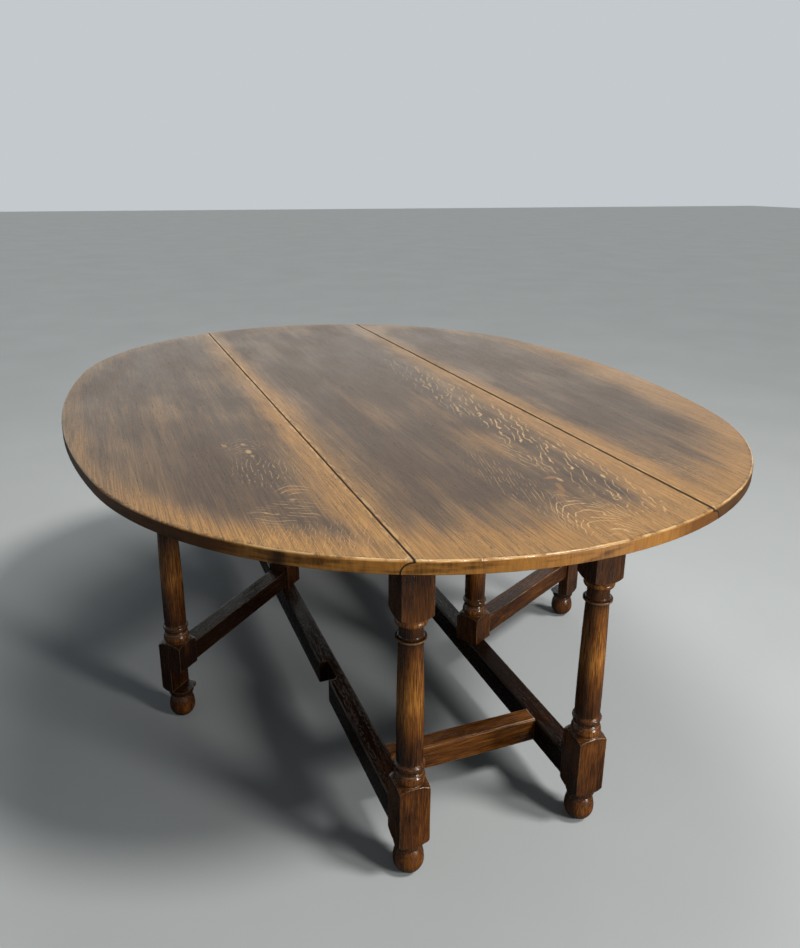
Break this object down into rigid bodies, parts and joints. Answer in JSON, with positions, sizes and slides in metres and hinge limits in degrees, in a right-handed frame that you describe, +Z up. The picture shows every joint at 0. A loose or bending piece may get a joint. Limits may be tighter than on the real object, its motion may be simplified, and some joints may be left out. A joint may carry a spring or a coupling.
{
  "type": "gateleg wake table",
  "caption": "Large oval drop-leaf dining table in oak with rule-jointed leaves, turned legs on ball feet, low stretchers and swing-out gates that hold up the leaves.",
  "frame": {"origin": "on the floor under the middle of the oval top", "axes": "+Z up, +Y along the boards of the top (its longest extent), +X across the leaves; the end seen nearest in the picture is -Y and the left leaf is at -X"},
  "size_m": [1.4316, 1.918, 0.742],
  "materials": {
    "oak_top": "waxed satin",
    "oak_frame": "polished satin",
    "oak_blocks": "plain",
    "iron_hinges": "dull",
    "steel_screws": "dull"
  },
  "bodies": {
    "frame": {"centre_board": "oak_top", "cross_stretcher_back": "oak_frame", "cross_stretcher_front": "oak_frame", "end_rail_back": "oak_frame", "end_rail_front": "oak_frame", "hinge_fixed_flap_left_back": "iron_hinges", "hinge_fixed_flap_left_front": "iron_hinges", "hinge_fixed_flap_left_middle": "iron_hinges", "hinge_fixed_flap_right_back": "iron_hinges", "hinge_fixed_flap_right_front": "iron_hinges", "hinge_fixed_flap_right_middle": "iron_hinges", "hinge_pin_left_back": "steel_screws", "hinge_pin_left_front": "steel_screws", "hinge_pin_left_middle": "steel_screws", "hinge_pin_right_back": "steel_screws", "hinge_pin_right_front": "steel_screws", "hinge_pin_right_middle": "steel_screws", "hinge_screws_centre_board": "steel_screws", "leg_back_left": "oak_frame", "leg_back_right": "oak_frame", "leg_front_left": "oak_frame", "leg_front_right": "oak_frame", "long_stretcher_left": "oak_frame", "long_stretcher_right": "oak_frame", "side_rail_left": "oak_frame", "side_rail_right": "oak_frame", "top_button_back": "oak_blocks", "top_button_front": "oak_blocks", "top_button_left_back": "oak_blocks", "top_button_left_front": "oak_blocks", "top_button_right_back": "oak_blocks", "top_button_right_front": "oak_blocks", "top_button_screws": "steel_screws"},
    "gate_left": {"gate_leg_left": "oak_frame", "gate_rail_left": "oak_frame", "gate_stretcher_left": "oak_frame", "pivot_post_left": "oak_frame"},
    "gate_right": {"gate_leg_right": "oak_frame", "gate_rail_right": "oak_frame", "gate_stretcher_right": "oak_frame", "pivot_post_right": "oak_frame"},
    "leaf_left": {"gate_stop_left": "oak_blocks", "gate_stop_screws_left": "steel_screws", "hinge_moving_flap_left_back": "iron_hinges", "hinge_moving_flap_left_front": "iron_hinges", "hinge_moving_flap_left_middle": "iron_hinges", "hinge_screws_leaf_left": "steel_screws", "leaf_left": "oak_top"},
    "leaf_right": {"gate_stop_right": "oak_blocks", "gate_stop_screws_right": "steel_screws", "hinge_moving_flap_right_back": "iron_hinges", "hinge_moving_flap_right_front": "iron_hinges", "hinge_moving_flap_right_middle": "iron_hinges", "hinge_screws_leaf_right": "steel_screws", "leaf_right": "oak_top"}
  },
  "joints": [
    {"name": "gate_left_pivot", "type": "hinge", "parent": "frame", "child": "gate_left", "pos_m": [-0.188, 0.229, 0.3], "axis": [0, 0, 1], "range_deg": [-43.8, 46.2]},
    {"name": "gate_right_pivot", "type": "hinge", "parent": "frame", "child": "gate_right", "pos_m": [0.188, -0.229, 0.3], "axis": [0, 0, 1], "range_deg": [-28.6, 61.4]},
    {"name": "leaf_left_hinge", "type": "hinge", "parent": "frame", "child": "leaf_left", "pos_m": [-0.26, 0, 0.72], "axis": [0, 1, 0], "range_deg": [0, 2]},
    {"name": "leaf_right_hinge", "type": "hinge", "parent": "frame", "child": "leaf_right", "pos_m": [0.26, 0, 0.72], "axis": [0, -1, 0], "range_deg": [0, 2]}
  ]
}
